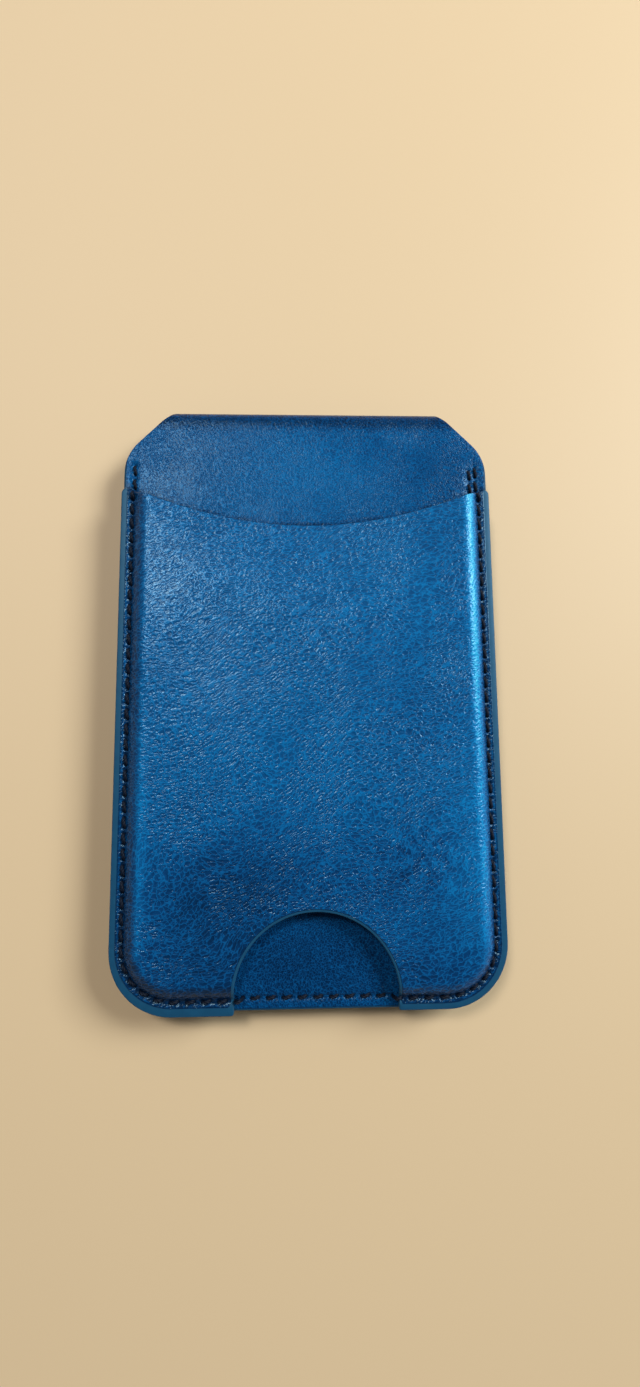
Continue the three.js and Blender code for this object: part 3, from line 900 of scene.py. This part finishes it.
def wrap_dent(x, s):
    """How deep the seams, and on the rear the edges of the magnet ring, press the wrapped leather in."""
    y = plan_y(s)
    from_centre = np.hypot(x, y - RING_Y)
    magnet_edge = np.minimum(np.abs(from_centre - RING_OUTER - IMPRINT_GAP),
                             np.abs(from_centre - RING_INNER + IMPRINT_GAP))
    imprint = 0.05 * np.exp(-((magnet_edge / 0.45) ** 2))
    rear = seam_dent(x, y, *REAR_DENT) + imprint
    return np.where(s < FOLD_START, rear, seam_dent(x, y, *FRONT_DENT))


def wrap_tone_and_shading(x, s):
    """The backing's tone: its patches, painted shade over the fold and in the notch, and a painted shadow
    where the pocket's mouth lies on it.
    """
    y = WRAP_SUM - s
    # Painted shade where the leather rolls over the fold.
    fold_shade = -0.8 * (1 - smooth((s - BACKING_START - 0.4) / 0.9))
    # Painted shadow along the line where the pocket's mouth lies on the backing.
    mouth_shadow = -1.8 * np.exp(-((mouth_distance(x, y) / 0.7) ** 2))
    backing = backing_patches_and_notch_shade(x, y) + fold_shade + mouth_shadow - 0.25
    return np.where(s > FOLD_START, backing, 0.0)


def wrap_points(profile, loop):
    """Mesh points of the wrapped leather, fine along its seams, its fold and the ring's imprint."""
    seam = keep_inside(seam_points(), strip_loop(profile, 0, True, True, 0.6), 0.62)
    backing_seam = np.c_[seam[:, 0], WRAP_SUM - seam[:, 1]]
    ring_edges = (RING_INNER - IMPRINT_GAP, RING_OUTER + IMPRINT_GAP)
    ring = ring_points((0, RING_Y), [r + d for r in ring_edges for d in (-0.45, 0, 0.45)], 0.8)
    fold_rows = np.arange(FOLD_START - 0.6, BACKING_START + 0.9, 0.3)
    fold = point_rows(np.arange(-27, 27, 0.9), fold_rows, 0.45)
    fine = keep_inside(np.vstack([seam, backing_seam, ring, fold]), loop, 0.4)
    body = lattice(loop, 1.3, 0.8)
    body = body[loop_distance(body, fine) > 0.6]
    return thin_out(np.vstack([fine, body]), 0.17)


def wrapped_leather():
    """One piece of leather: the rear face, the fold and the backing of the pouch."""
    profile = Profile(np.vstack([
        [[-HALF_LENGTH, 0]],
        round_the_fold(FOLD_RADIUS),
        [[-HALF_LENGTH, 2 * FOLD_RADIUS]],
    ]), -HALF_LENGTH)
    loop = strip_loop(profile, 0, True, True, 0.38)
    leather = sheet("wrapped_leather", loop, wrap_points(profile, loop), flat_at(LEATHER), wrap_dent,
                    profile.place, [wrap_material], tone=wrap_tone_and_shading,
                    painted=lambda x, s: 3 * edge_distance(x, plan_y(s)))
    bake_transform(leather)
    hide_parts("rear_leather", "fold_leather", "backing_leather")


def dipping_line(level, fold_level):
    """A flat lining's line: level over its board, then dipping to meet the fold's lining."""
    board_end = carrier_high[1]
    shares = np.linspace(0, 1, 14)
    run = board_end + 0.3 + shares * (FOLD_START - board_end - 0.5)
    return Profile(np.vstack([
        [[-HALF_LENGTH, level]],
        np.c_[run, level + (fold_level - level) * smooth(shares)],
        [[FOLD_START, fold_level]],
    ]), -HALF_LENGTH)


def flat_lining(name, line, low, high, body, node):
    """One flat lining, pulled in by the seam."""
    loop = strip_loop(line, SHEET_INSET, True, False, 0.45)
    inner = keep_inside(np.vstack([seam_points()[::2], lattice(loop, 1.6, 0.7)]), loop, 0.5)
    dip_rows = np.arange(carrier_high[1] - 0.4, line.along[-1] - 0.3, 0.35)
    dips = keep_inside(point_rows(np.arange(-26, 26, 1.3), dip_rows), loop, 0.4)
    inner = thin_out(np.vstack([dips, inner]), 0.25)
    obj = sheet(name, loop, inner, high, low, line.place, [lining_look])
    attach(obj, body)
    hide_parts(node)


def linings():
    """The two flat linings and the fold's own."""
    radius = FOLD_RADIUS - (tape_low[2] + TAPE_THICKNESS) - 0.05
    panel_line = dipping_line(panel_lining_low[2], FOLD_RADIUS - radius)
    pouch_line = dipping_line(pouch_lining_high[2], FOLD_RADIUS + radius)
    flat_lining("panel_lining_sheet", panel_line, flat_at(0.0),
                lambda x, y: LINING - seam_dent(x, y, *LINING_DENT), "magnet_panel", "panel_lining")
    flat_lining("pouch_lining_sheet", pouch_line, lambda x, y: seam_dent(x, y, *LINING_DENT) - LINING,
                flat_at(0.0), "pouch", "pouch_back_lining")

    fold_line = Profile(round_the_fold(radius), 0)
    loop = strip_loop(fold_line, SHEET_INSET, False, False, 0.3)
    obj = sheet("fold_lining_sheet", loop, lattice(loop, 0.6, 0.35), flat_at(LINING), flat_at(0.0),
                fold_line.place, [lining_look])
    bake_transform(obj)
    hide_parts("fold_lining")


def fold_tape():
    """The tape that reinforces the inside of the fold, glued to the leather."""
    radius = FOLD_RADIUS - tape_low[2]
    line = Profile(np.vstack([
        [[tape_low[1], FOLD_RADIUS - radius]],
        round_the_fold(radius),
        [[tape_low[1], FOLD_RADIUS + radius]],
    ]), 0)
    loop = strip_loop(line, 0.25, False, False, 0.4)
    obj = sheet("fold_tape", loop, lattice(loop, 0.6, 0.4), flat_at(TAPE_THICKNESS), flat_at(0.0),
                line.place, [tape_look])
    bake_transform(obj)
    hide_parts("fold_reinforcement")


def carrier_board():
    """The board under the magnets, with a ring-shaped and a bar-shaped pocket open below."""
    ring_high = frame_box("magnet_back_iron")[1]
    bar_low, bar_high = frame_box("alignment_magnet")
    bar_centre = (bar_low + bar_high) / 2
    bar_size = bar_high - bar_low + 2 * BOARD_CLEARANCE
    bar = rounded_rectangle(bar_centre[:2], bar_size[0], bar_size[1], 0.5, 0.25)
    ring_depth = ring_high[2] + RECESS_GAP - carrier_low[2]
    bar_depth = bar_high[2] + RECESS_GAP - carrier_low[2]
    inner_wall, outer_wall = RING_INNER - BOARD_CLEARANCE, RING_OUTER + BOARD_CLEARANCE

    def pockets(x, y):
        radius = np.hypot(x, y - RING_Y)
        in_ring = (radius > inner_wall) & (radius < outer_wall)
        in_bar = inside(np.c_[x, y], bar)
        return np.where(in_ring, ring_depth, np.where(in_bar, bar_depth, 0.0))

    wall_radii = [r + d for r in (inner_wall, outer_wall) for d in (-WALL_HALF, WALL_HALF)]
    walls = np.vstack([ring_points((0, RING_Y), wall_radii, 0.8), wall_points(bar)])
    line = straight(carrier_high[1], carrier_low[2])
    board("carrier_board_sheet", line, walls, flat_at(carrier_high[2] - carrier_low[2]), pockets,
          "magnet_panel", "magnet_carrier_board")


def stiffener_board():
    """The pouch's board, with a recess on top for the shield plate."""
    shield_low, shield_high = frame_box("shield_plate")
    stiffener_low, stiffener_high = frame_box("pouch_stiffener")
    centre = (shield_low + shield_high) / 2
    size = shield_high - shield_low + 2 * BOARD_CLEARANCE
    recess = rounded_rectangle(centre[:2], size[0], size[1], 3.3, 0.6)
    recess_depth = stiffener_high[2] - shield_low[2] + RECESS_GAP
    thickness = stiffener_high[2] - stiffener_low[2]
    line = straight(stiffener_high[1], stiffener_low[2])
    board("stiffener_sheet", line, wall_points(recess),
          lambda x, y: thickness - recess_depth * inside(np.c_[x, y], recess),
          flat_at(0.0), "pouch", "pouch_stiffener")


def board(name, line, walls, top, bottom, body, node):
    """A board with mesh points along its recesses' walls."""
    loop = strip_loop(line, 0.14, True, False, 0.45)
    field = lattice(loop, 2.6, 1.0)
    inner = np.vstack([walls, field[loop_distance(field, walls) > 0.8]])
    obj = sheet(name, loop, inner, top, bottom, line.place, [board_look], round_share=0.3)
    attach(obj, body)
    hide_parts(node)


# ---- Stitching ----

PLIES = 3
PLY_SIDES = 6
PLY_STEPS = 10
PLY_RADIUS = 0.185
PLY_OFFSET = 0.155  # from the stitch's middle to a ply's
TWIST_LENGTH = 1.7  # length of a full turn of the plies
BULGE = 0.14  # how far a stitch's middle stands above the leather
DIVE = 0.75  # how far its ends dip below that
SLANT = 0.14  # how far aside each end lies
BRIDGE = 0.75  # extra height of a stitch between two levels, as a share of their difference
SUNK = 0.12  # how deep a seam lies in the leather's face
INNER_SUNK = 0.10  # and in the linings
REAR_GROOVE = 0.40  # height of the thread in the rear's groove
REAR_FLATNESS = 0.7  # height of a stitch's section as a share of its width
INNER_FLATNESS = 0.35


def stitch_line(first, second, facing, flatness):
    """A stitch's middle points, how far along it they are, its sideways direction and its upward ones."""
    bend = np.linspace(-1, 1, PLY_STEPS)
    way = (second - first)[:2]
    share = 0.5 + (0.52 - stitch_start(way)) * bend
    length = np.linalg.norm(way)
    way = way / length
    side = np.array([-way[1], way[0]])
    climb = second[2] - first[2]
    lift = facing * flatness * (BULGE - DIVE * np.abs(bend) ** 3)
    lift += BRIDGE * abs(climb) * (1 - bend ** 2)
    slant = SLANT * bend
    middle = np.c_[first[:2] + share[:, None] * length * way + slant[:, None] * side,
                   first[2] + share * climb + lift]
    slope = np.gradient(middle[:, 2], share * length)
    above = np.c_[-slope[:, None] * way, np.ones(PLY_STEPS)] / np.sqrt(1 + slope ** 2)[:, None]
    return middle, share * length, np.r_[side, 0], above


def ply_faces(start):
    """The faces of one ply, a closed tube whose points begin at start."""
    faces = []
    for step in range(PLY_STEPS - 1):
        row = start + step * PLY_SIDES
        next_row = row + PLY_SIDES
        for k in range(PLY_SIDES):
            after = (k + 1) % PLY_SIDES
            faces.append((row + k, next_row + k, next_row + after, row + after))
    last = start + (PLY_STEPS - 1) * PLY_SIDES
    faces.append(tuple(start + k for k in range(PLY_SIDES)))
    faces.append(tuple(last + k for k in reversed(range(PLY_SIDES))))
    return faces


def one_stitch(first, second, facing, flatness, turn):
    """The points and faces of one twisted stitch between two needle holes, which are (x, y, surface z)."""
    middle, along, across, above = stitch_line(first, second, facing, flatness)
    points, faces = [], []
    for ply in range(PLIES):
        phase = turn + 2 * math.pi * (ply / PLIES + along / TWIST_LENGTH)
        aside, raised = np.cos(phase)[:, None], flatness * np.sin(phase)[:, None]
        centre = middle + PLY_OFFSET * (aside * across + raised * above)
        rings = []
        for angle in 2 * math.pi * np.arange(PLY_SIDES) / PLY_SIDES:
            outward = math.cos(angle) * across + flatness * math.sin(angle) * above
            rings.append(centre + PLY_RADIUS * outward)
        points.append(np.stack(rings, 1).reshape(-1, 3))
        faces += ply_faces(ply * PLY_STEPS * PLY_SIDES)
    return np.vstack(points), faces


def stitch_rows(name, rows, surface, facing, flatness, body):
    """Rows of needle holes joined by stitches, as one piece. surface gives the height at each hole."""
    points, faces = [], []
    count = 0
    for row in rows:
        heights = surface(row[:, 0], row[:, 1])
        ends = np.c_[row, heights]
        for index in range(len(row) - 1):
            stitch, stitch_faces = one_stitch(ends[index], ends[index + 1], facing, flatness, 2.1 * index)
            faces += [tuple(count + k for k in face) for face in stitch_faces]
            points.append(stitch)
            count += len(stitch)
    obj = make_object(name, np.vstack(points), faces, materials=[thread_look])
    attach(obj, body)
    return obj


def stitching():
    """The pouch's and the panel's seams, each seen outside and again inside on the lining."""
    front = pocket_loop(0.5)

    def on_pouch(x, y):
        covered = inside(np.c_[x, y], front)
        return np.where(covered, FLANGE_TOP - SUNK, backing_high[2] - SUNK)

    pouch = stitch_rows("pouch_stitches", [holes, backtack], on_pouch, 1, 1.0, "pouch")
    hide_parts("pouch_stitching")
    panel = stitch_rows("panel_stitches", [holes], flat_at(REAR_GROOVE), -1, REAR_FLATNESS, "magnet_panel")
    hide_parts("panel_stitching")
    stitch_rows("panel_inner_stitches", [holes], flat_at(panel_lining_high[2] - INNER_SUNK),
                1, INNER_FLATNESS, "magnet_panel")
    stitch_rows("pouch_inner_stitches", [holes], flat_at(pouch_lining_low[2] + INNER_SUNK),
                -1, INNER_FLATNESS, "pouch")


def hidden_metal():
    """Better materials for the magnets, the back iron and the shield plate, which keep their CAD shapes."""
    for name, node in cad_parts.items():
        if name.startswith("magnet_segment") or name == "alignment_magnet":
            node.material_slots[0].material = magnet_look
        if name in ("magnet_back_iron", "shield_plate"):
            node.material_slots[0].material = steel_look


pocket_front()
wrapped_leather()
linings()
fold_tape()
carrier_board()
stiffener_board()
stitching()
hidden_metal()


# ---- Floor, light and camera ----


def floor():
    """A pale plane under the wallet, 6 m square."""
    half = 3000
    corners = [(-half, -half, 0), (half, -half, 0), (half, half, 0), (-half, half, 0)]
    look = Shader("pale_floor").finish((0.68, 0.49, 0.285, 1), 0.6)
    obj = make_object("floor", corners, [(0, 1, 2, 3)], materials=[look])


def area_light(name, place, size, power, colour):
    """A square light that faces the wallet. place and size are in metres, and power is in watts."""
    light = bpy.data.lights.new(name, "AREA")
    light.shape = "SQUARE"
    light.size = size
    light.energy = power
    light.color = colour
    obj = add_object(name, light)
    obj.location = place
    obj.rotation_euler = (-Vector(place)).to_track_quat("-Z", "Y").to_euler()


def sky():
    """A pale sky that is brighter near the horizon."""
    world = bpy.data.worlds.new("studio")
    bpy.context.scene.world = world
    world.use_nodes = True
    tree = world.node_tree
    background = tree.nodes["Background"]
    background.inputs["Color"].default_value = (0.9, 0.95, 1.0, 1)
    direction = tree.nodes.new("ShaderNodeTexCoord")
    apart = tree.nodes.new("ShaderNodeSeparateXYZ")
    fall_off = tree.nodes.new("ShaderNodeMapRange")
    fall_off.interpolation_type = "SMOOTHSTEP"
    for key, number in (("From Min", 0.25), ("From Max", 0.85), ("To Min", 0.38), ("To Max", 0.04)):
        fall_off.inputs[key].default_value = number
    tree.links.new(direction.outputs["Generated"], apart.inputs[0])
    tree.links.new(apart.outputs["Z"], fall_off.inputs["Value"])
    tree.links.new(fall_off.outputs[0], background.inputs["Strength"])


def camera():
    """Above the wallet and a little towards its bottom edge, looking almost straight down."""
    data = bpy.data.cameras.new("camera")
    data.lens = 16.62
    data.sensor_width = 36
    data.clip_start = 0.01
    obj = add_object("camera", data)
    place = Vector((-1.8, -13.7, 116.4)) * MM
    tilt, lean, roll = (math.radians(a) for a in (6.94, -1.92, -0.55))
    turn = Matrix.Rotation(roll, 4, "Z") @ Matrix.Rotation(lean, 4, "Y") @ Matrix.Rotation(tilt, 4, "X")
    obj.matrix_world = Matrix.Translation(place) @ turn
    bpy.context.scene.camera = obj


floor()
area_light("key", (0.66, 0.36, 0.57), 0.38, 10.2, (0.86, 0.95, 1.0))
area_light("window", (-0.29, 0.44, 0.85), 0.22, 4.6, (1, 1, 1))
sky()
camera()
bpy.context.scene.view_settings.view_transform = "Standard"
